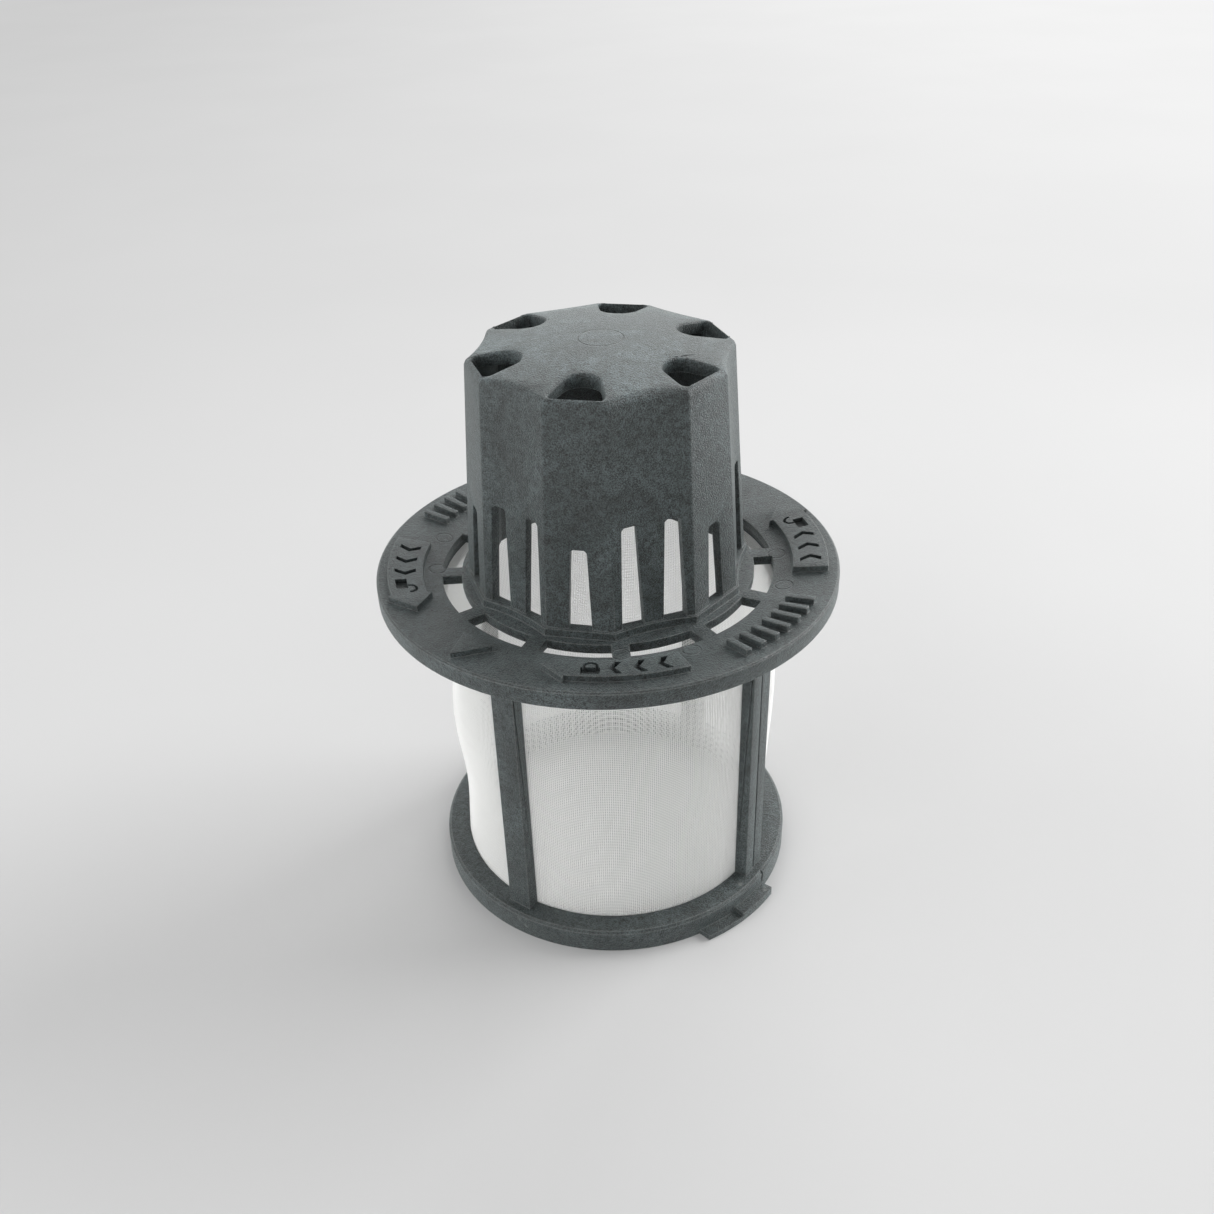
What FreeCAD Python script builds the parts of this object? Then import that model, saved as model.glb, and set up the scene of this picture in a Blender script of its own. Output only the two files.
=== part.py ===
# Cylindrical fine filter of a dishwasher: a slotted grip on a dished flange,
# over an open cage that carries a sleeve of fine woven mesh.
# Millimetres, +Z up. The origin is the centre of the foot ring's underside.
# Angles are in degrees about +Z, measured from -Y towards +X.

import FreeCAD, Part
import math
import os

from FreeCAD import Vector

# Cage and sleeve. The seat height is that of the flange's underside. The sleeve is a tube of flat strips:
# one lies behind each rib, and the others have a column of gaps, which stand for the weave's openings.
SEAT_HEIGHT = 89.6
SLEEVE_RADIUS = 43.5
SLEEVE_WALL = 0.4
SLEEVE_END_INSET = 1.0
STRIPS_PER_PANEL = 4
GAP_ROWS = 5
GAP_BAR_WIDTH = 2.0
FRAME_DEPTH = 3.3
BAND_HEIGHT = 5.0
WELD_GROOVE_DEPTH = 0.5
WELD_GROOVE_GAP = 0.3
RIB_COUNT = 4
RIB_FIRST_ANGLE = -38.7
RIB_WIDTH = 6.8
JOINED_RIB_INDEX = 1
JOINED_RIB_WIDTH = 8.4
SEAM_WIDTH = 0.5
SEAM_DEPTH = 0.8

# Foot ring and its bayonet lugs
FOOT_WIDTH = 6.3
FOOT_HEIGHT = 6.8
FOOT_EDGE_CHAMFER = 0.7
LUG_COUNT = 2
LUG_REACH = 3.3
LUG_START_ANGLE = 21.2
LUG_STEP_ANGLE = 36.6
LUG_END_ANGLE = 51.0
LUG_START_SLANT = 2.6
LUG_LOW_HEIGHT = 1.7
LUG_HIGH_HEIGHT = 2.8

# Flange, its ring of windows, and the hub ring inside them
FLANGE_RADIUS = 60.0
FLANGE_RIM_THICKNESS = 4.7
FLANGE_INNER_THICKNESS = 2.6
FLANGE_EDGE_CHAMFER = 0.5
WINDOW_EDGE_INSET = 0.3
WINDOW_WIDTH = 5.0
SPOKE_COUNT = 12
SPOKE_WIDTH = 4.2

# Raised marks on the flange
MARK_HEIGHT = 1.7
ARROW_ARM = 1.2
ARROW_POINT_ANGLE = 7.0
POINTER_TIP_RADIUS = 58.0
POINTER_BASE_RADIUS = 48.6
POINTER_ANGLE = -43.4
POINTER_HALF_WIDTH = 4.7
BAR_COUNT = 7
BAR_FIRST_ANGLE = 31.0
BAR_LAST_ANGLE = 59.5
BAR_INNER_RADIUS = 49.0
BAR_OUTER_RADIUS = 56.4
BAR_WIDTH = 1.7

# Grip, which is also the coarse strainer: flat sides and hollow sides by turns, all with draft,
# and a shallow crown on top. The distances are from the axis at the grip's foot.
COLLAR_HEIGHT = 2.1
COLLAR_LEDGE = 0.7
GRIP_HEIGHT = 57.1
GRIP_DRAFT = 3.5
GRIP_FLAT_WALL = 2.3
GRIP_HOLLOW_WALL = 2.0
GRIP_TOP_WALL = 3.0
GRIP_RIM_RADIUS = 1.8
GRIP_RIM_STEPS = 2
GRIP_RIM_TURN = 75.0
CROWN_RISE = 2.45
FLAT_COUNT = 6
FLAT_FIRST_ANGLE = -15.0
FLAT_DISTANCE = 35.2
HOLLOW_INSET = 1.6
HOLLOW_RADIUS = 48.6

# Slots up the grip's wall: one in each flat side, two in each hollow side
SLOT_BASE_WIDTH = 5.7
SLOT_TOP_WIDTH = 3.9
SLOT_HEIGHT = 21.0
TALL_SLOT_HEIGHT = 26.2
TALL_SLOT_OFFSET = 5.4
SLOT_CORNER_CHAMFER = 0.6

# Holes through the grip's top, one over each flat side
HOLE_SIDE_INSET = 1.2
HOLE_LENGTH = 10.8
HOLE_NOSE_RADIUS = 4.7
HOLE_OUTER_HALF_WIDTH = 6.3
HOLE_CORNER_RADIUS = 1.6
HOLE_NOTCH = 0.6

# Sizes worked out from those above
CAGE_RADIUS = SLEEVE_RADIUS + FRAME_DEPTH
CAGE_TOP = SEAT_HEIGHT + WELD_GROOVE_DEPTH
FOOT_RADIUS = SLEEVE_RADIUS + FOOT_WIDTH
WINDOW_OUTER_RADIUS = SLEEVE_RADIUS - WINDOW_EDGE_INSET
HUB_RADIUS = WINDOW_OUTER_RADIUS - WINDOW_WIDTH
HUB_TOP = SEAT_HEIGHT + FLANGE_INNER_THICKNESS
RIM_TOP = SEAT_HEIGHT + FLANGE_RIM_THICKNESS
COLLAR_TOP = HUB_TOP + COLLAR_HEIGHT
GRIP_TOP = COLLAR_TOP + GRIP_HEIGHT
FLANGE_SLOPE = (RIM_TOP - HUB_TOP) / (FLANGE_RADIUS - WINDOW_OUTER_RADIUS)
FLAT_PITCH = 360.0 / FLAT_COUNT
HOLE_OUTER_DISTANCE = FLAT_DISTANCE - GRIP_DRAFT - HOLE_SIDE_INSET
CROWN_EDGE = FLAT_DISTANCE - GRIP_DRAFT - GRIP_RIM_RADIUS
CROWN_RADIUS = (CROWN_EDGE ** 2 + CROWN_RISE ** 2) / (2.0 * CROWN_RISE)
CROWN_TOP = GRIP_TOP + CROWN_RISE
CUT_MARGIN = 2.0

# Each arrow plate: the angles of its square end and of its arrow's arms, and its two radii.
# The plates across the axis from each other are alike.
LONG_PLATE = (75.4, 105.6, 48.0, 57.0)
SHORT_PLATE = (15.8, -14.9, 47.4, 55.0)


def at(radius, angle, height):
    """Gives the point at a radius, an angle and a height."""
    turn = math.radians(angle)
    return Vector(radius * math.sin(turn), -radius * math.cos(turn), height)


def turned(shape, angle):
    """Gives a copy of a shape turned about the axis."""
    copy = shape.copy()
    copy.rotate(Vector(0, 0, 0), Vector(0, 0, 1), angle)
    return copy


def closed_face(points):
    """Gives the flat face inside a closed run of straight edges."""
    return Part.Face(Part.makePolygon(points + [points[0]]))


def spun(section):
    """Gives the round solid that a section makes when it turns about the axis."""
    return closed_face(section).revolve(Vector(0, 0, 0), Vector(0, 0, 1), 360)


def ring(inner, outer, low, high):
    """Gives an upright round ring of rectangular section."""
    return spun([Vector(inner, 0, low), Vector(outer, 0, low), Vector(outer, 0, high), Vector(inner, 0, high)])


def sector(inner, outer, start, end, low, high, slant=0.0):
    """Gives a curved block between two angles. A slant starts its outer edge that much later."""
    middle = (start + end) / 2.0
    edges = [
        Part.Arc(at(inner, start, low), at(inner, middle, low), at(inner, end, low)).toShape(),
        Part.LineSegment(at(inner, end, low), at(outer, end, low)).toShape(),
        Part.Arc(at(outer, end, low), at(outer, middle, low), at(outer, start + slant, low)).toShape(),
        Part.LineSegment(at(outer, start + slant, low), at(inner, start, low)).toShape(),
    ]
    return Part.Face(Part.Wire(edges)).extrude(Vector(0, 0, high - low))


def radial_bar(inner, outer, width, low, high, angle):
    """Gives a straight bar that runs outwards from one radius to another."""
    bar = Part.makeBox(width, outer - inner, high - low, Vector(-width / 2.0, -outer, low))
    return turned(bar, angle)


def flange_top(radius):
    """Gives the height of the dished flange at a radius."""
    return HUB_TOP + (radius - WINDOW_OUTER_RADIUS) * FLANGE_SLOPE


def flange():
    """Gives the flange: flat below, dished above, with its rim's upper edge eased."""
    shoulder = FLANGE_RADIUS - FLANGE_EDGE_CHAMFER
    section = [
        Vector(WINDOW_OUTER_RADIUS, 0, SEAT_HEIGHT),
        Vector(FLANGE_RADIUS, 0, SEAT_HEIGHT),
        Vector(FLANGE_RADIUS, 0, RIM_TOP - FLANGE_EDGE_CHAMFER),
        Vector(shoulder, 0, flange_top(shoulder)),
        Vector(WINDOW_OUTER_RADIUS, 0, HUB_TOP),
    ]
    return spun(section)


def mark_layer():
    """Gives the layer over the flange that the raised marks are cut from."""
    inner = WINDOW_OUTER_RADIUS
    outer = FLANGE_RADIUS - FLANGE_EDGE_CHAMFER
    section = [
        Vector(inner, 0, SEAT_HEIGHT),
        Vector(outer, 0, SEAT_HEIGHT),
        Vector(outer, 0, flange_top(outer) + MARK_HEIGHT),
        Vector(inner, 0, flange_top(inner) + MARK_HEIGHT),
    ]
    return spun(section)


def upright(face):
    """Gives the column over a flat face that reaches past the raised marks."""
    return face.extrude(Vector(0, 0, FLANGE_RIM_THICKNESS + MARK_HEIGHT + CUT_MARGIN))


def arrow_plate(square_end, arms, inner, outer):
    """Gives the column of one arrow plate: a curved strip with a pointed end."""
    base = SEAT_HEIGHT
    way = math.copysign(1.0, arms - square_end)
    middle = (square_end + arms) / 2.0
    tip = at((inner + outer) / 2.0, arms + way * ARROW_POINT_ANGLE, base)
    corners = [
        at(outer, arms, base),
        at(outer + ARROW_ARM, arms, base),
        tip,
        at(inner - ARROW_ARM, arms, base),
        at(inner, arms, base),
    ]
    edges = [Part.Arc(at(outer, square_end, base), at(outer, middle, base), corners[0]).toShape()]
    for start, end in zip(corners, corners[1:]):
        edges.append(Part.LineSegment(start, end).toShape())
    edges.append(Part.Arc(corners[-1], at(inner, middle, base), at(inner, square_end, base)).toShape())
    edges.append(Part.LineSegment(at(inner, square_end, base), at(outer, square_end, base)).toShape())
    return upright(Part.Face(Part.Wire(edges)))


def pointer():
    """Gives the column of the three-cornered pointer that shows the filter's angle."""
    base = SEAT_HEIGHT
    corners = [
        Vector(0, -POINTER_TIP_RADIUS, base),
        Vector(POINTER_HALF_WIDTH, -POINTER_BASE_RADIUS, base),
        Vector(-POINTER_HALF_WIDTH, -POINTER_BASE_RADIUS, base),
    ]
    return turned(upright(closed_face(corners)), POINTER_ANGLE)


def plain_bar(angle):
    """Gives the column of one raised bar."""
    height = FLANGE_RIM_THICKNESS + MARK_HEIGHT + CUT_MARGIN
    return radial_bar(BAR_INNER_RADIUS, BAR_OUTER_RADIUS, BAR_WIDTH, SEAT_HEIGHT, SEAT_HEIGHT + height, angle)


def raised_marks():
    """Gives the arrow plates, pointers and rows of bars, each as high over the dished flange."""
    half_set = [arrow_plate(*LONG_PLATE), arrow_plate(*SHORT_PLATE), pointer()]
    step = (BAR_LAST_ANGLE - BAR_FIRST_ANGLE) / (BAR_COUNT - 1)
    for number in range(BAR_COUNT):
        half_set.append(plain_bar(BAR_FIRST_ANGLE + number * step))
    columns = half_set + [turned(column, 180) for column in half_set]
    return [column.common(mark_layer()) for column in columns]


def side_level(height, inset=0.0):
    """Gives the level at a height where the drafted sides stand, or a surface within them.

    A level is a height and how far every side stands outside the grip's foot there.
    """
    return (height, -GRIP_DRAFT * (height - COLLAR_TOP) / GRIP_HEIGHT - inset)


def corner_points(level, flat_distance, hollow_distance):
    """Gives the corners where upright planes meet by turns at the two distances from the axis."""
    height, offset = level
    half = math.radians(FLAT_PITCH / 2.0)
    ahead = flat_distance + offset
    aside = (hollow_distance + offset - ahead * math.cos(half)) / math.sin(half)
    lean = math.degrees(math.atan2(aside, ahead))
    corner = math.hypot(ahead, aside)
    points = []
    for number in range(FLAT_COUNT):
        centre = FLAT_FIRST_ANGLE + number * FLAT_PITCH
        points += [at(corner, centre - lean, height), at(corner, centre + lean, height)]
    return points


def planed_block(feet, heads, apex=None):
    """Gives the solid with flat sides between two runs of corners, under a flat top or a pyramid."""
    faces = [closed_face(feet)] if apex else [closed_face(feet), closed_face(heads)]
    for number in range(len(feet)):
        after = (number + 1) % len(feet)
        faces.append(closed_face([feet[number], feet[after], heads[after], heads[number]]))
        if apex:
            faces.append(closed_face([heads[number], heads[after], apex]))
    block = Part.Solid(Part.Shell(faces))
    return block if block.Volume > 0 else block.reversed()


def hollow_cut(low, high, angle):
    """Gives the round cutter of one hollow side between two levels."""
    foot = HOLLOW_RADIUS - low[1]
    head = HOLLOW_RADIUS - high[1]
    centre = at(FLAT_DISTANCE - HOLLOW_INSET + HOLLOW_RADIUS, angle, low[0])
    if abs(foot - head) < 1e-6:
        return Part.makeCylinder(foot, high[0] - low[0], centre)
    return Part.makeCone(foot, head, high[0] - low[0], centre)


def twelve_sided(levels):
    """Gives the filled block with flat and hollow sides through a run of levels."""
    angles = [FLAT_FIRST_ANGLE + (number + 0.5) * FLAT_PITCH for number in range(FLAT_COUNT)]
    slices = []
    for low, high in zip(levels, levels[1:]):
        feet = corner_points(low, FLAT_DISTANCE, FLAT_DISTANCE)
        heads = corner_points(high, FLAT_DISTANCE, FLAT_DISTANCE)
        slices.append(planed_block(feet, heads).cut([hollow_cut(low, high, angle) for angle in angles]))
    return slices[0].multiFuse(slices[1:]) if len(slices) > 1 else slices[0]


def crown():
    """Gives the ball whose top is the grip's crown."""
    centre = Vector(0, 0, CROWN_TOP - CROWN_RADIUS)
    ball = Part.makeSphere(CROWN_RADIUS, centre, Vector(1, 0, 0))
    ball.rotate(centre, Vector(1, 0, 0), 180)
    return ball


def grip_body():
    """Gives the grip as a filled block. Its rim is rounded in steps, and the last runs up to the crown."""
    steps = []
    for number in range(GRIP_RIM_STEPS + 1):
        turn = math.radians(GRIP_RIM_TURN * number / GRIP_RIM_STEPS)
        steps.append((GRIP_TOP - GRIP_RIM_RADIUS * (1 - math.sin(turn)), GRIP_RIM_RADIUS * (1 - math.cos(turn))))
    rise = steps[-1][0] - steps[-2][0]
    run = steps[-1][1] - steps[-2][1]
    reach = 2.0 * GRIP_RIM_RADIUS
    steps[-1] = (steps[-2][0] + reach * rise / run, steps[-2][1] + reach)
    levels = [side_level(HUB_TOP)] + [side_level(height, inset) for height, inset in steps]
    levels.append((CROWN_TOP + CUT_MARGIN, levels[-1][1]))
    return twelve_sided(levels).common(crown())


def grip_inside():
    """Gives the space inside the grip, which runs down through the hub ring. Its roof is a shallow pyramid."""
    low = side_level(SEAT_HEIGHT - CUT_MARGIN)
    high = side_level(GRIP_TOP - GRIP_TOP_WALL)
    flat = FLAT_DISTANCE - GRIP_FLAT_WALL
    hollow = FLAT_DISTANCE - HOLLOW_INSET - GRIP_HOLLOW_WALL
    apex = Vector(0, 0, CROWN_TOP - GRIP_TOP_WALL)
    return planed_block(corner_points(low, flat, hollow), corner_points(high, flat, hollow), apex)


def collar():
    """Gives the low collar that the grip's wall stands on."""
    return twelve_sided([(HUB_TOP, COLLAR_LEDGE), (COLLAR_TOP, COLLAR_LEDGE)])


def slot_cut(offset, height, angle):
    """Gives the cutter of one slot: wider at its foot, with eased upper corners."""
    low = COLLAR_TOP
    high = COLLAR_TOP + height
    near = FLAT_DISTANCE + CUT_MARGIN
    depth = GRIP_DRAFT + HOLLOW_INSET + GRIP_HOLLOW_WALL + 2 * CUT_MARGIN
    foot = SLOT_BASE_WIDTH / 2.0
    head = SLOT_TOP_WIDTH / 2.0
    corners = [
        Vector(offset - foot, -near, low),
        Vector(offset + foot, -near, low),
        Vector(offset + head, -near, high),
        Vector(offset - head, -near, high),
    ]
    block = closed_face(corners).extrude(Vector(0, depth, 0))
    upper = [edge for edge in block.Edges if min(v.Point.z for v in edge.Vertexes) > high - 1e-6]
    across = [edge for edge in upper if abs(edge.Length - depth) < 1e-6]
    return turned(block.makeChamfer(SLOT_CORNER_CHAMFER, across), angle)


def slot_cuts():
    """Gives the cutters of all the slots up the grip's wall."""
    cuts = []
    for number in range(FLAT_COUNT):
        flat = FLAT_FIRST_ANGLE + number * FLAT_PITCH
        hollow = flat + FLAT_PITCH / 2.0
        cuts.append(slot_cut(0.0, SLOT_HEIGHT, flat))
        cuts.append(slot_cut(-TALL_SLOT_OFFSET, TALL_SLOT_HEIGHT, hollow))
        cuts.append(slot_cut(TALL_SLOT_OFFSET, TALL_SLOT_HEIGHT, hollow))
    return cuts


def hole_cut(angle):
    """Gives the cutter of a top hole: a round nose inwards, a straight edge outwards."""
    height = GRIP_TOP - GRIP_TOP_WALL - HOLE_NOTCH
    nose = -(HOLE_OUTER_DISTANCE - HOLE_LENGTH + HOLE_NOSE_RADIUS)
    corner = HOLE_CORNER_RADIUS
    lean = math.atan2(HOLE_OUTER_HALF_WIDTH - HOLE_NOSE_RADIUS, HOLE_LENGTH - HOLE_NOSE_RADIUS)
    bend = math.radians(45.0)
    centre = Vector(HOLE_OUTER_HALF_WIDTH - corner, corner - HOLE_OUTER_DISTANCE, height)
    right = [
        Vector(HOLE_NOSE_RADIUS * math.cos(lean), nose + HOLE_NOSE_RADIUS * math.sin(lean), height),
        centre + Vector(corner * math.cos(lean), corner * math.sin(lean), 0),
        centre + Vector(corner * math.cos(bend), -corner * math.sin(bend), 0),
        centre + Vector(0, -corner, 0),
    ]
    left = [Vector(-point.x, point.y, point.z) for point in right]
    edges = [
        Part.Arc(left[0], Vector(0, nose + HOLE_NOSE_RADIUS, height), right[0]).toShape(),
        Part.LineSegment(right[0], right[1]).toShape(),
        Part.Arc(right[1], right[2], right[3]).toShape(),
        Part.LineSegment(right[3], left[3]).toShape(),
        Part.Arc(left[3], left[2], left[1]).toShape(),
        Part.LineSegment(left[1], left[0]).toShape(),
    ]
    shaft = Part.Face(Part.Wire(edges)).extrude(Vector(0, 0, CROWN_TOP - height))
    return turned(shaft, angle)


def hole_cuts():
    """Gives the cutters of the top holes."""
    return [hole_cut(FLAT_FIRST_ANGLE + number * FLAT_PITCH) for number in range(FLAT_COUNT)]


def weld_groove():
    """Gives the cutter of the shallow groove under the flange that takes the cage's top band."""
    return ring(WINDOW_OUTER_RADIUS, CAGE_RADIUS + WELD_GROOVE_GAP, SEAT_HEIGHT - CUT_MARGIN, CAGE_TOP)


def hub_and_spokes():
    """Gives the hub ring and the spokes that join it to the flange across the windows."""
    pieces = [Part.makeCylinder(HUB_RADIUS, FLANGE_INNER_THICKNESS, Vector(0, 0, SEAT_HEIGHT))]
    reach = WINDOW_OUTER_RADIUS + FLANGE_EDGE_CHAMFER
    start = (HUB_RADIUS + FLAT_DISTANCE) / 2.0
    for number in range(SPOKE_COUNT):
        angle = number * 360.0 / SPOKE_COUNT
        pieces.append(radial_bar(start, reach, SPOKE_WIDTH, SEAT_HEIGHT, HUB_TOP, angle))
    return pieces


def strainer_top():
    """Gives the top moulding: flange, windows, hub, collar and slotted grip in one piece."""
    added = hub_and_spokes() + [collar(), grip_body()] + raised_marks()
    solid = flange().multiFuse(added)
    solid = solid.cut([grip_inside(), weld_groove()] + slot_cuts() + hole_cuts())
    return solid.removeSplitter()


def foot_ring():
    """Gives the foot ring with its upper outer edge eased."""
    shoulder = FOOT_RADIUS - FOOT_EDGE_CHAMFER
    section = [
        Vector(SLEEVE_RADIUS, 0, 0),
        Vector(FOOT_RADIUS, 0, 0),
        Vector(FOOT_RADIUS, 0, FOOT_HEIGHT - FOOT_EDGE_CHAMFER),
        Vector(shoulder, 0, FOOT_HEIGHT),
        Vector(SLEEVE_RADIUS, 0, FOOT_HEIGHT),
    ]
    return spun(section)


def bayonet_lug():
    """Gives one bayonet lug: a low lead-in and a higher stop, out from the foot ring."""
    inner = FOOT_RADIUS - FOOT_WIDTH / 2.0
    outer = FOOT_RADIUS + LUG_REACH
    low = sector(inner, outer, LUG_START_ANGLE, LUG_END_ANGLE, 0, LUG_LOW_HEIGHT, LUG_START_SLANT)
    high = sector(inner, outer, LUG_STEP_ANGLE, LUG_END_ANGLE, 0, LUG_HIGH_HEIGHT)
    return low.fuse(high)


def rib(number):
    """Gives one upright rib, wider where the cage's two ends are joined."""
    angle = RIB_FIRST_ANGLE + number * 360.0 / RIB_COUNT
    width = JOINED_RIB_WIDTH if number == JOINED_RIB_INDEX else RIB_WIDTH
    return radial_bar(SLEEVE_RADIUS - FRAME_DEPTH, CAGE_RADIUS, width, 0, CAGE_TOP, angle)


def seam_cuts():
    """Gives the cutters of the fine seam down the joined rib and the foot ring."""
    angle = RIB_FIRST_ANGLE + JOINED_RIB_INDEX * 360.0 / RIB_COUNT
    high = SEAT_HEIGHT - BAND_HEIGHT
    rib_seam = radial_bar(CAGE_RADIUS - SEAM_DEPTH, CAGE_RADIUS + CUT_MARGIN, SEAM_WIDTH, FOOT_HEIGHT, high, angle)
    out = FOOT_RADIUS + CUT_MARGIN
    foot_seam = radial_bar(FOOT_RADIUS - SEAM_DEPTH, out, SEAM_WIDTH, LUG_HIGH_HEIGHT, FOOT_HEIGHT, angle)
    return [rib_seam, foot_seam]


def cage():
    """Gives the cage: top band, ribs, foot ring and bayonet lugs in one piece."""
    band = ring(SLEEVE_RADIUS, CAGE_RADIUS, SEAT_HEIGHT - BAND_HEIGHT, CAGE_TOP)
    pieces = [band] + [rib(number) for number in range(RIB_COUNT)]
    pieces += [turned(bayonet_lug(), number * 360.0 / LUG_COUNT) for number in range(LUG_COUNT)]
    solid = foot_ring().multiFuse(pieces)
    sleeve_space = Part.makeCylinder(SLEEVE_RADIUS, CAGE_TOP + 2 * CUT_MARGIN, Vector(0, 0, -CUT_MARGIN))
    return solid.cut([sleeve_space] + seam_cuts()).removeSplitter()


def strip_tube(inset, low, high):
    """Gives the filled block inside the sleeve's flat strips, or inside a surface within them."""
    count = RIB_COUNT * (STRIPS_PER_PANEL + 1)
    half = 180.0 / count
    corner = SLEEVE_RADIUS - inset / math.cos(math.radians(half))
    points = [at(corner, RIB_FIRST_ANGLE + half + 2 * half * number, low) for number in range(count)]
    return closed_face(points).extrude(Vector(0, 0, high - low))


def sleeve_gaps():
    """Gives the cutters of the gaps: columns between the ribs, rows between the foot ring and the top band."""
    pitch = 360.0 / (RIB_COUNT * (STRIPS_PER_PANEL + 1))
    width = 2 * SLEEVE_RADIUS * math.sin(math.radians(pitch / 2.0)) - GAP_BAR_WIDTH
    step = (SEAT_HEIGHT - BAND_HEIGHT - FOOT_HEIGHT) / GAP_ROWS
    inner = SLEEVE_RADIUS - 2 * CUT_MARGIN
    gaps = []
    for number in range(RIB_COUNT * (STRIPS_PER_PANEL + 1)):
        if number % (STRIPS_PER_PANEL + 1) == 0:
            continue
        angle = RIB_FIRST_ANGLE + number * pitch
        for row in range(GAP_ROWS):
            low = FOOT_HEIGHT + row * step + GAP_BAR_WIDTH / 2.0
            high = low + step - GAP_BAR_WIDTH
            gaps.append(radial_bar(inner, SLEEVE_RADIUS + CUT_MARGIN, width, low, high, angle))
    return gaps


def mesh_sleeve():
    """Gives the woven sleeve as a thin openwork tube that lines the cage."""
    low = SLEEVE_END_INSET
    high = SEAT_HEIGHT - SLEEVE_END_INSET
    wall = strip_tube(0, low, high).cut(strip_tube(SLEEVE_WALL, low - CUT_MARGIN, high + CUT_MARGIN))
    return wall.cut(sleeve_gaps())


def main():
    """Builds each piece and writes it to its own file."""
    os.makedirs("parts", exist_ok=True)
    pieces = {"strainer_top": strainer_top(), "cage": cage(), "mesh_sleeve": mesh_sleeve()}
    for name, shape in pieces.items():
        solid = shape.Solids[0]
        print(name, "valid", solid.isValid(), "solids", len(shape.Solids), "volume", round(solid.Volume, 1))
        solid.exportStep("parts/" + name + ".step")


main()
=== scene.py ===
"""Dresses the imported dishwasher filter: moulded plastic, woven sleeve, pale studio and camera.

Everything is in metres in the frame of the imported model, +Z up. Sizes in the classes are in millimetres and
degrees, as on a drawing, and angles run from -Y towards +X. The function `mm` turns millimetres into metres.
"""
import logging
import math
import sys
from dataclasses import dataclass, field
from enum import Enum
from typing import Callable, Sequence

import bmesh
import bpy
import numpy as np
from mathutils import Matrix, Vector


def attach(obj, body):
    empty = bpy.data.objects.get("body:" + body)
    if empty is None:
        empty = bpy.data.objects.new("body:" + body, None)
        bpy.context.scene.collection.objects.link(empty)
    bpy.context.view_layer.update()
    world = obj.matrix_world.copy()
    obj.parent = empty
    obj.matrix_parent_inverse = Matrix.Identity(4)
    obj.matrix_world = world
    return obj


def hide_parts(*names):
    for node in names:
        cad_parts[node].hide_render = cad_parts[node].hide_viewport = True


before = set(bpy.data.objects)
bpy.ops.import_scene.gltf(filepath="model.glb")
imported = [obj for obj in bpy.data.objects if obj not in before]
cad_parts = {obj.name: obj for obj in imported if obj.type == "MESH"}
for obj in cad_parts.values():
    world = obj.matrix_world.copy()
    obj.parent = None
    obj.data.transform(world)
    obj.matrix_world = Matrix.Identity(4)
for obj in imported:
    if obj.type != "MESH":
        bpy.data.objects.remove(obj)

LOG = logging.getLogger("filter")
BODY = "root"
MERGED_WITHIN = 2e-6
SHORTEST_EDGE = 1e-6
FLAT_WITHIN = math.radians(0.4)
Colour = tuple[float, float, float]
Outline = list[tuple[float, float]]
Place = tuple[float, float, float]
Tree = bpy.types.NodeTree
Output = bpy.types.NodeSocket


def mm(value: float | np.ndarray) -> float | np.ndarray:
    """Turns millimetres into metres."""
    return value * 0.001


def plan_point(radius: float, angle: float) -> tuple[float, float]:
    """Gives the plan place, in the radius's unit, of a point at a radius and an angle in degrees."""
    turn = math.radians(angle)
    return radius * math.sin(turn), -radius * math.cos(turn)


def opaque(colour: Colour) -> tuple[float, ...]:
    """Gives a colour with the full alpha that a colour socket takes."""
    return (*colour, 1.0)


# --- meshes ---


def linked_object(name: str, data: bpy.types.ID) -> bpy.types.Object:
    """Makes an object of a mesh, a lamp or a camera.

    Args:
        name: The object's name.
        data: The mesh, lamp or camera.

    Returns:
        The new object, at the origin and linked to the scene.
    """
    made = bpy.data.objects.new(name, data)
    bpy.context.scene.collection.objects.link(made)
    return made


def mesh_piece(name: str, vertices: np.ndarray, faces: Sequence[Sequence[int]]) -> bpy.types.Object:
    """Puts points and faces of any number of sides into a new object, shaded flat.

    Args:
        name: The piece's name.
        vertices: Points in metres, one row each.
        faces: Point numbers round each face, seen from outside.

    Returns:
        The new object, linked to the scene.
    """
    mesh = bpy.data.meshes.new(name)
    mesh.from_pydata(vertices.tolist(), [], [list(map(int, face)) for face in faces])
    mesh.validate()
    mesh.update()
    return linked_object(name, mesh)


def quad_mesh(name: str, vertices: np.ndarray, quads: np.ndarray, triangles: np.ndarray) -> bpy.types.Object:
    """Puts whole arrays of points and faces into a new object, with numpy's foreach_set.

    Args:
        name: The piece's name.
        vertices: Points in metres, shape (count, 3).
        quads: Point numbers round each four-sided face, shape (count, 4).
        triangles: Point numbers round each three-sided face, shape (count, 3).

    Returns:
        The new object, linked to the scene and shaded smooth.
    """
    mesh = bpy.data.meshes.new(name)
    corners = np.concatenate([quads.ravel(), triangles.ravel()]).astype(np.int32)
    triangle_starts = quads.size + np.arange(len(triangles)) * 3
    starts = np.concatenate([np.arange(len(quads)) * 4, triangle_starts]).astype(np.int32)
    mesh.vertices.add(len(vertices))
    mesh.vertices.foreach_set("co", vertices.astype(np.float32).ravel())
    mesh.loops.add(len(corners))
    mesh.loops.foreach_set("vertex_index", corners)
    mesh.polygons.add(len(starts))
    mesh.polygons.foreach_set("loop_start", starts)
    mesh.polygons.foreach_set("use_smooth", np.ones(len(starts), bool))
    mesh.update(calc_edges=True)
    return linked_object(name, mesh)


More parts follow.
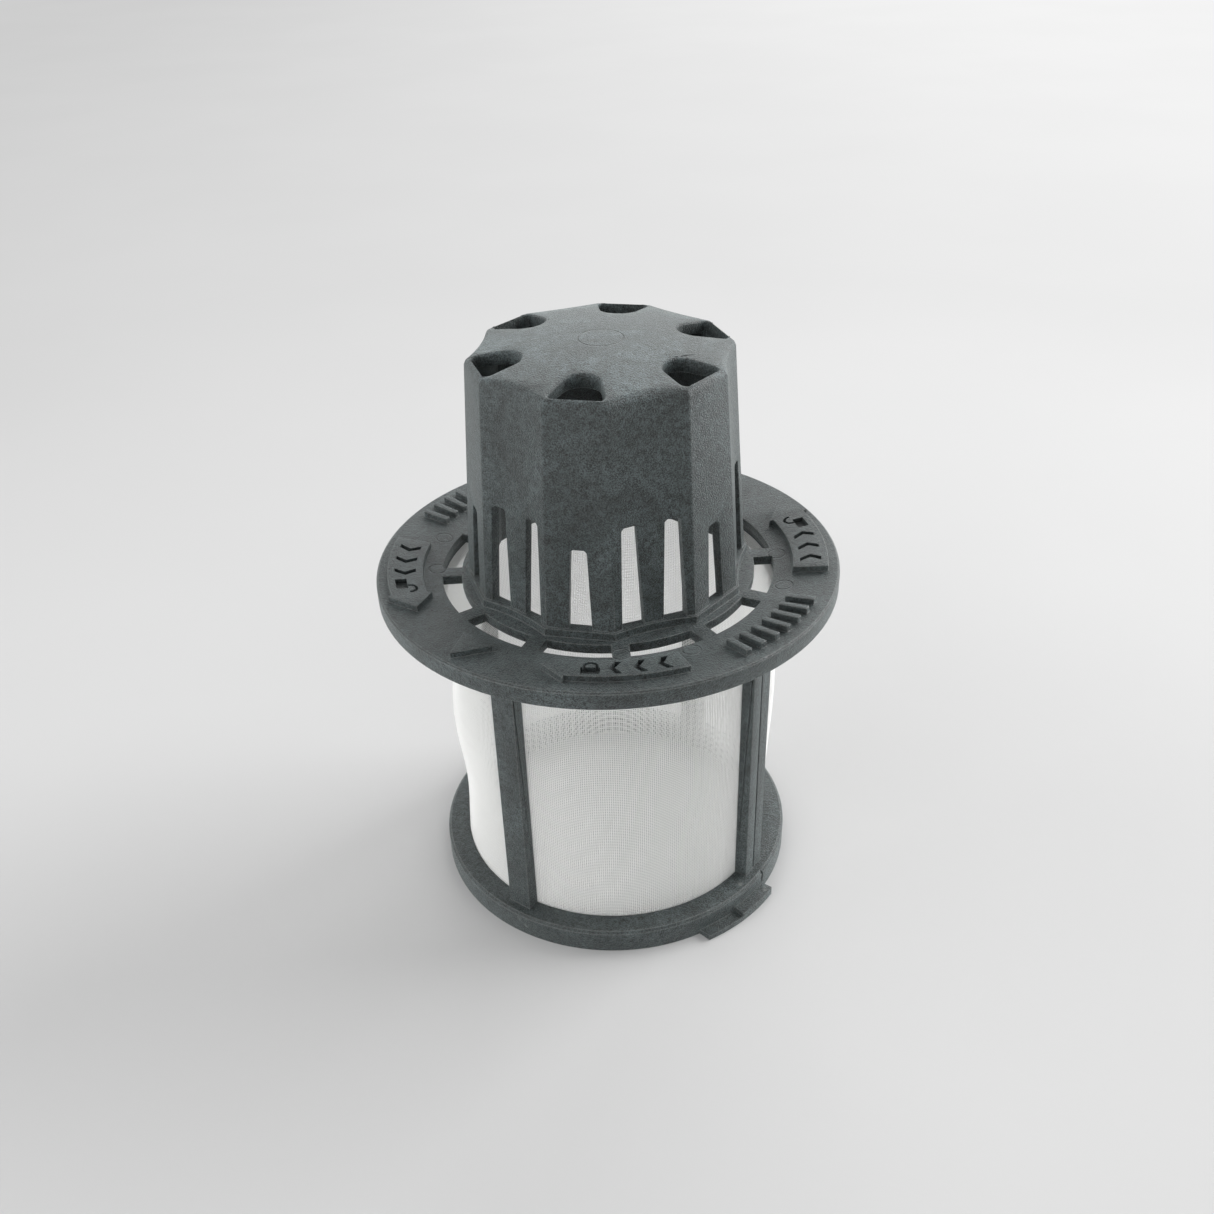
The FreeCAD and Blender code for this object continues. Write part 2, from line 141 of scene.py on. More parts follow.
def thread_bundle(
    paths: np.ndarray, outwards: np.ndarray, radius: float, closed: bool
) -> tuple[np.ndarray, np.ndarray, np.ndarray]:
    """Works out the skin of many equal threads at once.

    A thread's path runs along its second index. Across the path stand the outward direction and the direction
    square to it and to the path, and the three corners of each section are
    path + radius * (outward * cos(a) + across * sin(a)), with a at 0, 120 and 240 degrees.

    Args:
        paths: Points along each thread, shape (threads, steps, 3).
        outwards: Unit directions away from the axis at those points, of the same shape.
        radius: The thread's half thickness.
        closed: Whether each thread runs round into itself.

    Returns:
        The points, the four-sided faces and the three-sided end faces.
    """
    threads, steps, _ = paths.shape
    after = np.roll(paths, -1, axis=1)
    before = np.roll(paths, 1, axis=1)
    along = after - before
    if not closed:
        along[:, 0] = paths[:, 1] - paths[:, 0]
        along[:, -1] = paths[:, -1] - paths[:, -2]
    along /= np.linalg.norm(along, axis=2, keepdims=True)
    across = np.cross(along, outwards)
    across /= np.linalg.norm(across, axis=2, keepdims=True)
    turns = np.radians([0.0, 120.0, 240.0])
    shifts = outwards[:, :, None] * np.cos(turns)[:, None] + across[:, :, None] * np.sin(turns)[:, None]
    points = (paths[:, :, None] + radius * shifts).reshape(-1, 3)
    number = np.arange(threads * steps * 3).reshape(threads, steps, 3)
    here = number if closed else number[:, :-1]
    there = np.roll(number, -1, axis=1) if closed else number[:, 1:]
    corners = [here, np.roll(here, -1, axis=2), np.roll(there, -1, axis=2), there]
    quads = np.stack(corners, axis=-1).reshape(-1, 4)
    if closed:
        return points, quads, np.empty((0, 3), int)
    feet = number[:, 0][:, ::-1]
    heads = number[:, -1]
    return points, quads, np.concatenate([feet, heads])


# --- node groups ---


class NodeMaker:
    """Adds nodes to one shader tree. A value is a plain one, or another node's output that is linked."""

    def __init__(self, tree: Tree) -> None:
        """Takes the tree that the nodes go into."""
        self.tree = tree

    def put(self, value: object, socket: Output) -> None:
        """Links an output to an input socket, or sets a plain value on it.

        Args:
            value: The output or plain value.
            socket: The input socket.
        """
        if isinstance(value, Output):
            self.tree.links.new(value, socket)
        else:
            socket.default_value = value

    def add(
        self, kind: str, result: str | int, values: dict[str | int, object], **settings: object
    ) -> Output:
        """Adds a node and gives one of its results.

        Args:
            kind: The node's type, without the ShaderNode that all of them start with.
            result: The output's name or number.
            values: A value for each input, by its name or number.
            settings: The node's own settings, such as its operation.

        Returns:
            The output.
        """
        node = self.tree.nodes.new("ShaderNode" + kind)
        for name, value in settings.items():
            setattr(node, name, value)
        for name, value in values.items():
            self.put(value, node.inputs[name])
        return node.outputs[result]

    def math(self, operation: str, *values: object) -> Output:
        """Adds a Math node and gives its result."""
        return self.add("Math", 0, dict(enumerate(values)), operation=operation)

    def vector_math(self, operation: str, *values: object, result: str = "Vector") -> Output:
        """Adds a Vector Math node and gives one of its results."""
        return self.add("VectorMath", result, dict(enumerate(values)), operation=operation)

    def brighter(self, colour: object, factor: object) -> Output:
        """Multiplies a colour by a value."""
        return self.add("VectorMath", "Vector", {0: colour, "Scale": factor}, operation="SCALE")

    def noise(
        self, vector: object, scale: object, detail: float, roughness: float, bend: object = 0.0
    ) -> Output:
        """Adds a Noise Texture, bent by its distortion, and gives its value from 0 to 1."""
        values = {"Vector": vector, "Scale": scale, "Detail": detail, "Roughness": roughness}
        return self.add("TexNoise", "Fac", {**values, "Distortion": bend})

    def remap(
        self, value: object, low: object, high: object, to_low: object = 0.0, to_high: object = 1.0
    ) -> Output:
        """Adds a clamped Map Range node, with smooth ends, and gives its result.

        Args:
            value: The value to turn into another.
            low: Where it starts to change the result.
            high: Where it stops changing the result.
            to_low: The result up to `low`.
            to_high: The result from `high` on.

        Returns:
            The result.
        """
        values = {"Value": value, "From Min": low, "From Max": high, "To Min": to_low, "To Max": to_high}
        return self.add("MapRange", "Result", values, interpolation_type="SMOOTHSTEP")

    def mix(self, share: object, first: object, second: object) -> Output:
        """Adds a Mix node for colours and gives its result."""
        return self.add("Mix", "Result", {"Factor": share, "A": first, "B": second}, data_type="RGBA")

    def part(self, vector: object, axis: str) -> Output:
        """Splits a vector and gives its part along the X, Y or Z axis."""
        return self.add("SeparateXYZ", axis, {0: vector})

    def attribute(self, name: str) -> Output:
        """Gives a point attribute's value."""
        return self.add("Attribute", "Fac", {}, attribute_name=name)

    def seen_rays(self) -> Output:
        """Gives 1 for the rays that show the background, and 0 for those that carry light.

        Returns:
            1 for rays from the camera, and for mirrored ones and those through clear stuff.
        """
        rays = self.tree.nodes.new("ShaderNodeLightPath").outputs
        mirrored = self.math("MAXIMUM", rays["Is Glossy Ray"], rays["Is Transmission Ray"])
        return self.math("MAXIMUM", rays["Is Camera Ray"], mirrored)


class Socket(Enum):
    """Kinds of socket that the shader groups have."""

    NUMBER = "NodeSocketFloat"
    VECTOR = "NodeSocketVector"


class GroupBuilder(NodeMaker):
    """Builds one shader node group with named inputs and outputs."""

    def __init__(self, name: str, inputs: dict[str, float | None], outputs: Sequence[str]) -> None:
        """Makes the empty group.

        Args:
            name: The group's name.
            inputs: Each input's starting number by its name, or None where it is a vector.
            outputs: The names of the outputs, which are all numbers.
        """
        super().__init__(bpy.data.node_groups.new(name, "ShaderNodeTree"))
        for label, value in inputs.items():
            kind = Socket.VECTOR if value is None else Socket.NUMBER
            made = self.tree.interface.new_socket(name=label, in_out="INPUT", socket_type=kind.value)
            if value is not None:
                made.default_value = value
        for label in outputs:
            self.tree.interface.new_socket(name=label, in_out="OUTPUT", socket_type=Socket.NUMBER.value)
        self.source = self.tree.nodes.new("NodeGroupInput")
        self.target = self.tree.nodes.new("NodeGroupOutput")

    def given(self, label: str) -> Output:
        """Gives one of the group's inputs, to be linked onwards."""
        return self.source.outputs[label]

    def give(self, label: str, value: Output) -> None:
        """Sends a value out of the group."""
        self.tree.links.new(value, self.target.inputs[label])


@dataclass
class EffectLibrary:
    """The shader groups that the finishes share, each built once."""

    groups: dict[str, Tree] = field(default_factory=dict)

    def build(self) -> None:
        """Builds every group."""
        self.groups["grain"] = self._grain()
        self.groups["flow"] = self._flow()
        self.groups["scuff"] = self._scuff()
        self.groups["witness_ring"] = self._witness_ring()

    def place(self, nodes: NodeMaker, name: str, values: dict[str, object]) -> bpy.types.Node:
        """Places a group in a material and gives it its own values.

        Args:
            nodes: What adds nodes to the material.
            name: The group's name in this library.
            values: A plain value or an output for each named input.

        Returns:
            The group's node.
        """
        node = nodes.tree.nodes.new("ShaderNodeGroup")
        node.node_tree = self.groups[name]
        for label, value in values.items():
            nodes.put(value, node.inputs[label])
        return node

    @staticmethod
    def _grain() -> Tree:
        """Builds the speckle of a filled plastic: short noise, with a little coarser mottling in the mask.

        Returns:
            The group.
        """
        fine_share, coarse_share = 0.8, 0.2
        dark_below, pale_above = 0.2, 0.8
        inputs = {"Vector": None, "Fine Scale": 3000.0, "Coarse Scale": 700.0}
        group = GroupBuilder("Fine grain", inputs, ("Speckle", "Height"))
        fine = group.noise(group.given("Vector"), group.given("Fine Scale"), 1.0, 0.7)
        coarse = group.noise(group.given("Vector"), group.given("Coarse Scale"), 0.0, 0.5)
        both = group.math("MULTIPLY_ADD", coarse, coarse_share, group.math("MULTIPLY", fine, fine_share))
        group.give("Speckle", group.remap(both, dark_below, pale_above))
        group.give("Height", fine)
        return group.tree

    @staticmethod
    def _flow() -> Tree:
        """Builds the flow marks of glass-filled mouldings: pale clouds, and thin dark streaks between them.

        The clouds are bent noise. The streaks are where a second noise is near its middle value.

        Returns:
            The group.
        """
        cloud_from, cloud_full = 0.42, 0.68
        middle = 0.5
        streak_shift = (0.31, 0.17, 0.23)
        inputs = {"Vector": None, "Scale": 40.0, "Bend": 1.5, "Streak Scale": 24.0, "Streak Width": 0.03}
        group = GroupBuilder("Flow marks", inputs, ("Clouds", "Streaks"))
        clouds = group.noise(group.given("Vector"), group.given("Scale"), 3.0, 0.6, group.given("Bend"))
        group.give("Clouds", group.remap(clouds, cloud_from, cloud_full))
        shifted = group.vector_math("ADD", group.given("Vector"), streak_shift)
        wander = group.noise(shifted, group.given("Streak Scale"), 1.0, 0.5)
        away = group.math("ABSOLUTE", group.math("SUBTRACT", wander, middle))
        group.give("Streaks", group.remap(away, 0.0, group.given("Streak Width"), 1.0, 0.0))
        return group.tree

    @staticmethod
    def _scuff() -> Tree:
        """Builds a worn spot: a patch round a centre, broken up by noise.

        Returns:
            The group.
        """
        whole_within = 0.25
        bare_below, worn_above = 0.30, 0.62
        inputs = {"Vector": None, "Centre": None, "Radius": 0.003, "Break-up": 900.0}
        group = GroupBuilder("Scuff", inputs, ("Mask",))
        distance = group.vector_math("DISTANCE", group.given("Vector"), group.given("Centre"), result="Value")
        share = group.math("DIVIDE", distance, group.given("Radius"))
        near = group.remap(share, whole_within, 1.0, 1.0, 0.0)
        broken = group.noise(group.given("Vector"), group.given("Break-up"), 3.0, 0.6)
        group.give("Mask", group.remap(group.math("MULTIPLY", near, broken), bare_below, worn_above))
        return group.tree

    @staticmethod
    def _witness_ring() -> Tree:
        """Builds the fine ring that an ejector pin or a gate leaves: a line round its centre.

        Returns:
            The group.
        """
        full_share = 0.3
        inputs = {"Vector": None, "Centre": None, "Radius": 0.0022, "Line Width": 0.0003, "Lowest": 0.0921}
        group = GroupBuilder("Witness ring", inputs, ("Line",))
        from_centre = group.vector_math("SUBTRACT", group.given("Vector"), group.given("Centre"))
        flat = group.vector_math("MULTIPLY", from_centre, (1.0, 1.0, 0.0))
        distance = group.vector_math("LENGTH", flat, result="Value")
        away = group.math("ABSOLUTE", group.math("SUBTRACT", distance, group.given("Radius")))
        full_within = group.math("MULTIPLY", group.given("Line Width"), full_share)
        line = group.remap(away, full_within, group.given("Line Width"), 1.0, 0.0)
        above = group.math("GREATER_THAN", group.part(group.given("Vector"), "Z"), group.given("Lowest"))
        group.give("Line", group.math("MULTIPLY", line, above))
        return group.tree


# --- finishes ---


class Finish:
    """What every finish has: a material with one Principled shader."""

    @staticmethod
    def new_material(name: str) -> tuple[bpy.types.Material, NodeMaker, bpy.types.Node, Output]:
        """Makes an empty material.

        Args:
            name: The material's name.

        Returns:
            The material, what adds nodes to it, its Principled shader and its Object coordinates.
        """
        material = bpy.data.materials.new(name)
        material.use_nodes = True
        tree = material.node_tree
        tree.nodes.clear()
        shader = tree.nodes.new("ShaderNodeBsdfPrincipled")
        output = tree.nodes.new("ShaderNodeOutputMaterial")
        tree.links.new(shader.outputs[0], output.inputs["Surface"])
        place = tree.nodes.new("ShaderNodeTexCoord").outputs["Object"]
        return material, NodeMaker(tree), shader, place


@dataclass(frozen=True)
class Spot:
    """A round mark on the plastic: its centre by distance from the axis, angle and height, and its radius."""

    radius_from_axis: float
    angle: float
    height: float
    radius: float

    def centre(self) -> Place:
        """Gives the centre in metres."""
        across, depth = plan_point(mm(self.radius_from_axis), self.angle)
        return across, depth, mm(self.height)


@dataclass(frozen=True)
class FilledPlastic(Finish):
    """Dark grey glass-filled plastic: matt with a broad sheen, speckled, with flow marks, and pale edge lines
    that are partly wear and partly painted highlight.

    The crown's flow marks are stronger than the others, only edges below `pale_edge_top` get the pale line,
    and the sunk signs get painted shade.
    """

    name: str
    colour: Colour = (0.0275, 0.036, 0.036)
    pale: Colour = (0.096, 0.120, 0.125)
    dark: Colour = (0.011, 0.013, 0.013)
    # Pale colour for real wear on the scuffs, and for the edge lines, which are partly wear and partly
    # painted highlight.
    wear_and_edge_highlight: Colour = (0.30, 0.31, 0.30)
    roughness: float = 0.46
    roughness_spread: float = 0.08
    cloud_share: float = 0.22
    crown_cloud_share: float = 0.75
    crown_from: float = 149.0
    crown_blend: float = 3.0
    cloud_scale: float = 38.0
    cloud_bend: float = 1.6
    streak_share: float = 0.4
    speckle_low: float = 0.0
    speckle_high: float = 2.15
    edge_share: float = 0.20
    pale_edge_top: float = 108.0
    pale_edge_blend: float = 8.0
    # Share of painted shade that darkens the floors of the sunk signs.
    sunk_shade_share: float = 0.85
    scuff_share: float = 0.38
    ring_share: float = 0.75
    ring_depth: float = 1.2
    ring_reach: float = 1.2
    grain_height: float = 1.4
    bump_strength: float = 0.7
    bump_distance: float = 0.30
    sheen: float = 0.35
    sheen_roughness: float = 0.4
    sheen_tint: Colour = (0.90, 1.0, 1.0)
    rings: tuple[Spot, ...] = ()
    scuffs: tuple[Spot, ...] = ()

    def material(self, effects: EffectLibrary) -> bpy.types.Material:
        """Builds the material.

        Args:
            effects: The shader groups.

        Returns:
            The finished material.
        """
        material, nodes, shader, place = self.new_material(self.name)
        grain = effects.place(nodes, "grain", {"Vector": place}).outputs
        flow_values = {"Vector": place, "Scale": self.cloud_scale, "Bend": self.cloud_bend}
        flow = effects.place(nodes, "flow", flow_values).outputs
        above_foot = nodes.part(place, "Z")
        colour = self._moulded(nodes, flow["Clouds"], flow["Streaks"], above_foot)
        speckle = nodes.remap(grain["Speckle"], 0.0, 1.0, self.speckle_low, self.speckle_high)
        colour = nodes.brighter(colour, speckle)
        colour = self._wear_and_painted_light(nodes, effects, colour, place, above_foot)
        height = nodes.math("MULTIPLY", grain["Height"], self.grain_height)
        for spot in self.rings:
            lowest = mm(spot.height - self.ring_reach)
            values = {"Vector": place, "Centre": spot.centre(), "Radius": mm(spot.radius), "Lowest": lowest}
            line = effects.place(nodes, "witness_ring", values).outputs["Line"]
            height = nodes.math("SUBTRACT", height, nodes.math("MULTIPLY", line, self.ring_depth))
            colour = nodes.mix(nodes.math("MULTIPLY", line, self.ring_share), colour, opaque(self.dark))
        nodes.put(colour, shader.inputs["Base Color"])
        lowest_roughness = self.roughness - self.roughness_spread / 2.0
        roughness = nodes.math("MULTIPLY_ADD", flow["Clouds"], self.roughness_spread, lowest_roughness)
        nodes.put(roughness, shader.inputs["Roughness"])
        shader.inputs["Sheen Weight"].default_value = self.sheen
        shader.inputs["Sheen Roughness"].default_value = self.sheen_roughness
        shader.inputs["Sheen Tint"].default_value = opaque(self.sheen_tint)
        relief = {"Strength": self.bump_strength, "Distance": mm(self.bump_distance), "Height": height}
        nodes.put(nodes.add("Bump", "Normal", relief), shader.inputs["Normal"])
        return material

    def _moulded(self, nodes: NodeMaker, clouds: Output, streaks: Output, above_foot: Output) -> Output:
        """Gives the plastic's colour as it left the mould: plain, with pale clouds and dark streaks.

        Args:
            nodes: What adds nodes to the material.
            clouds: The mask of the pale clouds.
            streaks: The mask of the dark streaks.
            above_foot: The height above the foot ring's underside in metres.

        Returns:
            The colour.
        """
        crown = mm(self.crown_from), mm(self.crown_from + self.crown_blend)
        cloudy = nodes.remap(above_foot, *crown, self.cloud_share, self.crown_cloud_share)
        share = nodes.math("MULTIPLY", clouds, cloudy)
        colour = nodes.mix(share, opaque(self.colour), opaque(self.pale))
        return nodes.mix(nodes.math("MULTIPLY", streaks, self.streak_share), colour, opaque(self.dark))

    def _wear_and_painted_light(
        self, nodes: NodeMaker, effects: EffectLibrary, colour: Output, place: Output, above_foot: Output
    ) -> Output:
        """Adds pale edge lines, partly wear and partly painted highlight, painted shade in the sunk signs,
        and worn scuffs.

        Args:
            nodes: What adds nodes to the material.
            effects: The shader groups.
            colour: The colour so far.
            place: The Object coordinates.
            above_foot: The height above the foot ring's underside in metres.

        Returns:
            The colour.
        """
        # Painted highlight and wear: rounded edges below a height turn pale, partly real rubbing and partly a
        # painted edge highlight.
        pale_edge_fade = mm(self.pale_edge_top - self.pale_edge_blend), mm(self.pale_edge_top)
        low_down = nodes.remap(above_foot, *pale_edge_fade, self.edge_share, 0.0)
        pale_edges = nodes.math("MULTIPLY", nodes.attribute("edge"), low_down)
        colour = nodes.mix(pale_edges, colour, opaque(self.wear_and_edge_highlight))
        # Painted shade: the floors of the sunk signs are darkened, standing in for the shade in those narrow
        # recesses.
        sunk = nodes.math("MULTIPLY", nodes.attribute("sunk"), self.sunk_shade_share)
        colour = nodes.mix(sunk, colour, opaque(self.dark))
        for spot in self.scuffs:
            values = {"Vector": place, "Centre": spot.centre(), "Radius": mm(spot.radius)}
            mask = effects.place(nodes, "scuff", values).outputs["Mask"]
            colour = nodes.mix(nodes.math("MULTIPLY", mask, self.scuff_share), colour, opaque(self.wear_and_edge_highlight))
        return colour


@dataclass(frozen=True)
class MeshThread(Finish):
    """Thin matt white plastic thread, in patches a little less white."""

    name: str
    colour: Colour = (0.975, 0.98, 0.965)
    shade: Colour = (0.95, 0.955, 0.94)
    shade_share: float = 0.5
    patch_scale: float = 45.0
    roughness: float = 0.60

    def material(self, effects: EffectLibrary) -> bpy.types.Material:
        """Builds the material.

        Args:
            effects: The shader groups.

        Returns:
            The finished material.
        """
        material, nodes, shader, place = self.new_material(self.name)
        flow = effects.place(nodes, "flow", {"Vector": place, "Scale": self.patch_scale, "Bend": 0.0})
        share = nodes.math("MULTIPLY", flow.outputs["Clouds"], self.shade_share)
        nodes.put(nodes.mix(share, opaque(self.colour), opaque(self.shade)), shader.inputs["Base Color"])
        shader.inputs["Roughness"].default_value = self.roughness
        return material


@dataclass(frozen=True)
class StudioFloor(Finish):
    """Pale matt floor. Near the object it shows its own light and shadow, and further off it is seen even.

    The even part is a pale level, a little paler to the right, in place of the fall-off of the lights. Only
    the camera and mirrored rays see it: the object gets light from the floor as from any pale surface. The
    one blends into the other from `near` to `far`, in metres.
    """

    name: str = "studio_floor"
    colour: float = 0.92
    seen_colour: float = 0.675
    far_level: float = 0.765
    far_slope: float = 0.18
    slope_reach: float = 0.8
    near: float = 0.16
    far: float = 0.55
    patch_scale: float = 6.0
    patch_level: float = 0.985
    roughness: float = 0.9

    def material(self) -> bpy.types.Material:
        """Builds the material, and gives it."""
        material, nodes, shader, place = self.new_material(self.name)
        seen = nodes.seen_rays()
        away = nodes.remap(nodes.vector_math("LENGTH", place, result="Value"), self.near, self.far)
        even = nodes.math("MULTIPLY", away, seen)
        patches = nodes.remap(nodes.noise(place, self.patch_scale, 3.0, 0.5), 0.3, 0.7, self.patch_level, 1.0)
        darkened = nodes.math("MULTIPLY", seen, self.colour - self.seen_colour)
        lit = nodes.math("MULTIPLY", nodes.math("SUBTRACT", self.colour, darkened), patches)
        left = nodes.math("MULTIPLY", lit, nodes.math("SUBTRACT", 1.0, even))
        nodes.put(self._grey(nodes, left), shader.inputs["Base Color"])
        slope = self.far_slope * self.slope_reach
        across = -self.slope_reach, self.slope_reach
        level = nodes.remap(nodes.part(place, "X"), *across, self.far_level - slope, self.far_level + slope)
        shown = nodes.math("MULTIPLY", nodes.math("MULTIPLY", level, patches), even)
        nodes.put(self._grey(nodes, shown), shader.inputs["Emission Color"])
        shader.inputs["Emission Strength"].default_value = 1.0
        shader.inputs["Roughness"].default_value = self.roughness
        shader.inputs["Specular IOR Level"].default_value = 0.0
        return material

    @staticmethod
    def _grey(nodes: NodeMaker, value: Output) -> Output:
        """Turns one value into a neutral colour."""
        return nodes.add("CombineColor", 0, {0: value, 1: value, 2: value})


# --- moulded pieces ---


class Sign(Enum):
    """The plain signs that can be sunk into a plate."""

    CHEVRON = "chevron"
    CLOSED_LOCK = "closed_lock"
    OPEN_LOCK = "open_lock"


@dataclass(frozen=True)
class PlateMarks:
    """A row of plain signs sunk into one raised plate.

    The signs' proportions are shares: of half the height for the chevron's reach and the padlock's body, of
    the body's half width for the shackle, and of the stroke for the chevron's nib and the shackle's stroke.
    """

    signs: tuple[Sign, ...]
    first_angle: float
    last_angle: float
    radius: float
    height: float = 5.4
    stroke: float = 1.2
    chevron_reach: float = 0.60
    chevron_nib: float = 1.3
    lock_width: float = 0.84
    lock_top: float = 0.08
    shackle_width: float = 0.84
    shackle_stroke: float = 0.62
    open_shift: float = 1.05
    shackle_steps: int = 13

    def outlines(self) -> list[tuple[Outline, float]]:
        """Works out the outlines of every sign in the row.

        Returns:
            Each outline, in millimetres about its sign's middle, with the angle that the sign stands at.
        """
        step = (self.last_angle - self.first_angle) / (len(self.signs) - 1)
        way = 1.0 if step > 0 else -1.0
        placed = []
        for number, sign in enumerate(self.signs):
            made = [self._chevron(way)] if sign is Sign.CHEVRON else self._padlock(sign is Sign.OPEN_LOCK)
            placed += [(outline, self.first_angle + number * step) for outline in made]
        return placed

    def _chevron(self, way: float) -> Outline:
        """Gives a chevron's outline.

        Args:
            way: 1 where it points towards larger angles, and -1 where it points towards smaller ones.

        Returns:
            The outline.
        """
        half = self.height / 2.0
        reach = half * self.chevron_reach
        nib = self.stroke * self.chevron_nib
        front = [(-reach, half), (nib - reach, half), (reach, 0.0)]
        back = [(nib - reach, -half), (-reach, -half), (reach - nib, 0.0)]
        return [(way * x, y) for x, y in front + back]

    def _padlock(self, opened: bool) -> list[Outline]:
        """Gives a padlock's outlines.

        Args:
            opened: Whether the shackle stands to one side, with its far leg cut short.

        Returns:
            The outlines of the body and of the shackle, whose long legs end inside the body.
        """
        half = self.height / 2.0
        width = self.lock_width * half
        top = self.lock_top * half
        outer = self.shackle_width * width
        inner = outer - self.shackle_stroke * self.stroke
        middle = half - outer
        sunk, sunk_open, far_leg_length = 0.2, 0.18, 0.35
        shift, near_end, far_end = 0.0, top - sunk, top - sunk
        if opened:
            shift, near_end, far_end = width * self.open_shift, top - sunk_open, middle - far_leg_length
        body = [(-width, -half), (width, -half), (width, top), (-width, top)]
        turns = np.radians(np.linspace(0.0, 180.0, self.shackle_steps))
        arch = [(shift + outer * math.cos(turn), middle + outer * math.sin(turn)) for turn in turns]
        back = [(shift + inner * math.cos(turn), middle + inner * math.sin(turn)) for turn in turns[::-1]]
        near_leg = [(shift - outer, near_end), (shift - inner, near_end)]
        far_leg = [(shift + inner, far_end), (shift + outer, far_end)]
        return [body, arch + near_leg + back + far_leg]


CLOSING = (Sign.CHEVRON, Sign.CHEVRON, Sign.CHEVRON, Sign.CLOSED_LOCK)
OPENING = (Sign.CHEVRON, Sign.CHEVRON, Sign.CHEVRON, Sign.OPEN_LOCK)


@dataclass
class StrainerTop:
    """The top moulding: flange, spokes, collar and slotted grip, with eased edges and sunk signs.

    The flange's top is a cone that rises from `hub_top` at `dish_start`, and the plates stand above it by
    `mark_rise`.
    """

    node: str = "strainer_top"
    name: str = "strainer_top_moulding"
    mark_depth: float = 1.2
    mark_rise: float = 1.7
    cutter_rise: float = 1.0
    hub_top: float = 92.2
    dish_start: float = 43.2
    dish_slope: float = 2.1 / 16.8
    edge_radius: float = 0.22
    nose_radius: float = 0.65
    rim_radius: float = 0.5
    rim_low: float = 146.5
    crown_low: float = 150.0
    nose_reach: float = 27.5
    marks: tuple[PlateMarks, ...] = (
        PlateMarks(CLOSING, 10.2, -8.8, 51.2),
        PlateMarks(CLOSING, 190.2, 171.2, 51.2),
        PlateMarks(OPENING, 80.5, 100.0, 52.5),
        PlateMarks(OPENING, 260.5, 280.0, 52.5),
    )

    def _edge_share(self, middle: Vector) -> float:
        """Gives an edge's share of the widest rounding, which the top holes' inner ends get.

        Args:
            middle: The edge's middle point in metres.

        Returns:
            The share: 1 for those ends, less for the grip's rim and least for all other edges.
        """
        away = math.hypot(middle.x, middle.y)
        if middle.z > mm(self.crown_low) and away < mm(self.nose_reach):
            return 1.0
        return (self.rim_radius if middle.z > mm(self.rim_low) else self.edge_radius) / self.nose_radius

    def plate_top(self, radius: float) -> float:
        """Gives a plate's top in millimetres: the flange's height at a radius, and the plate's rise."""
        return self.hub_top + (radius - self.dish_start) * self.dish_slope + self.mark_rise

    def build(self, finish: FilledPlastic, effects: EffectLibrary) -> bpy.types.Object:
        """Builds and dresses the piece.

        Args:
            finish: The plastic.
            effects: The shader groups.

        Returns:
            The piece, which stands for the CAD node.
        """
        piece = merged_copy(self.node, self.name)
        cut_from(piece, self._mark_cutters(), "sunk")
        ease_edges(piece, mm(self.nose_radius), self._edge_share)
        shade_smooth(piece)
        piece.data.materials.clear()
        piece.data.materials.append(finish.material(effects))
        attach(piece, BODY)
        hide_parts(self.node)
        return piece

    def _mark_cutters(self) -> bpy.types.Object:
        """Builds one object of all the sign cutters.

        Each is its sign's outline as a prism, whose floor lies `mark_depth` under the dished plate's top.

        Returns:
            The cutters, with their faces outwards.
        """
        points: list[Place] = []
        faces: list[list[int]] = []
        for marks in self.marks:
            for outline, angle in marks.outlines():
                start, count = len(points), len(outline)
                sine, cosine = math.sin(math.radians(angle)), math.cos(math.radians(angle))
                # The signs stand upright seen from outside the flange: upwards is towards the axis.
                reached = [(x, marks.radius - y) for x, y in outline]
                plan = [(out * sine + x * cosine, x * sine - out * cosine) for x, out in reached]
                floors = [(x, y, self.plate_top(math.hypot(x, y)) - self.mark_depth) for x, y in plan]
                tops = [(x, y, z + self.mark_depth + self.cutter_rise) for x, y, z in floors]
                points += floors + tops
                faces.append([start + number for number in reversed(range(count))])
                faces.append([start + count + number for number in range(count)])
                for number in range(count):
                    after = (number + 1) % count
                    side = (number, after, count + after, count + number)
                    faces.append([start + corner for corner in side])
        cutter = mesh_piece("sign_cutters", mm(np.array(points)), faces)
        with_normals_outwards(cutter)
        return cutter


@dataclass
class Cage:
    """The cage moulding: top band, ribs, foot ring and lugs, with eased edges."""

    node: str = "cage"
    name: str = "cage_moulding"
    edge_radius: float = 0.22

    def build(self, finish: FilledPlastic, effects: EffectLibrary) -> bpy.types.Object:
        """Builds and dresses the piece.

        Args:
            finish: The plastic.
            effects: The shader groups.

        Returns:
            The piece, which stands for the CAD node.
        """
        piece = merged_copy(self.node, self.name)
        ease_edges(piece, mm(self.edge_radius), lambda middle: 1.0)
        shade_smooth(piece)
        piece.data.materials.clear()
        piece.data.materials.append(finish.material(effects))
        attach(piece, BODY)
        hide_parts(self.node)
        return piece


def merged_copy(node: str, name: str) -> bpy.types.Object:
    """Gives a copy of a CAD node with its doubles merged and its flat faces made whole.

    Args:
        node: The CAD node's name.
        name: The new piece's name.

    Returns:
        The copy, at the origin.
    """
    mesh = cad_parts[node].data.copy()
    mesh.name = name
    work = bmesh.new()
    work.from_mesh(mesh)
    bmesh.ops.remove_doubles(work, verts=work.verts, dist=MERGED_WITHIN)
    bmesh.ops.dissolve_degenerate(work, edges=work.edges, dist=SHORTEST_EDGE)
    bmesh.ops.dissolve_limit(work, angle_limit=FLAT_WITHIN, verts=work.verts, edges=work.edges)
    work.to_mesh(mesh)
    work.free()
    return linked_object(name, mesh)


def with_normals_outwards(piece: bpy.types.Object) -> None:
    """Turns a closed mesh's faces outwards.

    Args:
        piece: The object.
    """
    work = bmesh.new()
    work.from_mesh(piece.data)
    bmesh.ops.recalc_face_normals(work, faces=work.faces)
    work.to_mesh(piece.data)
    work.free()


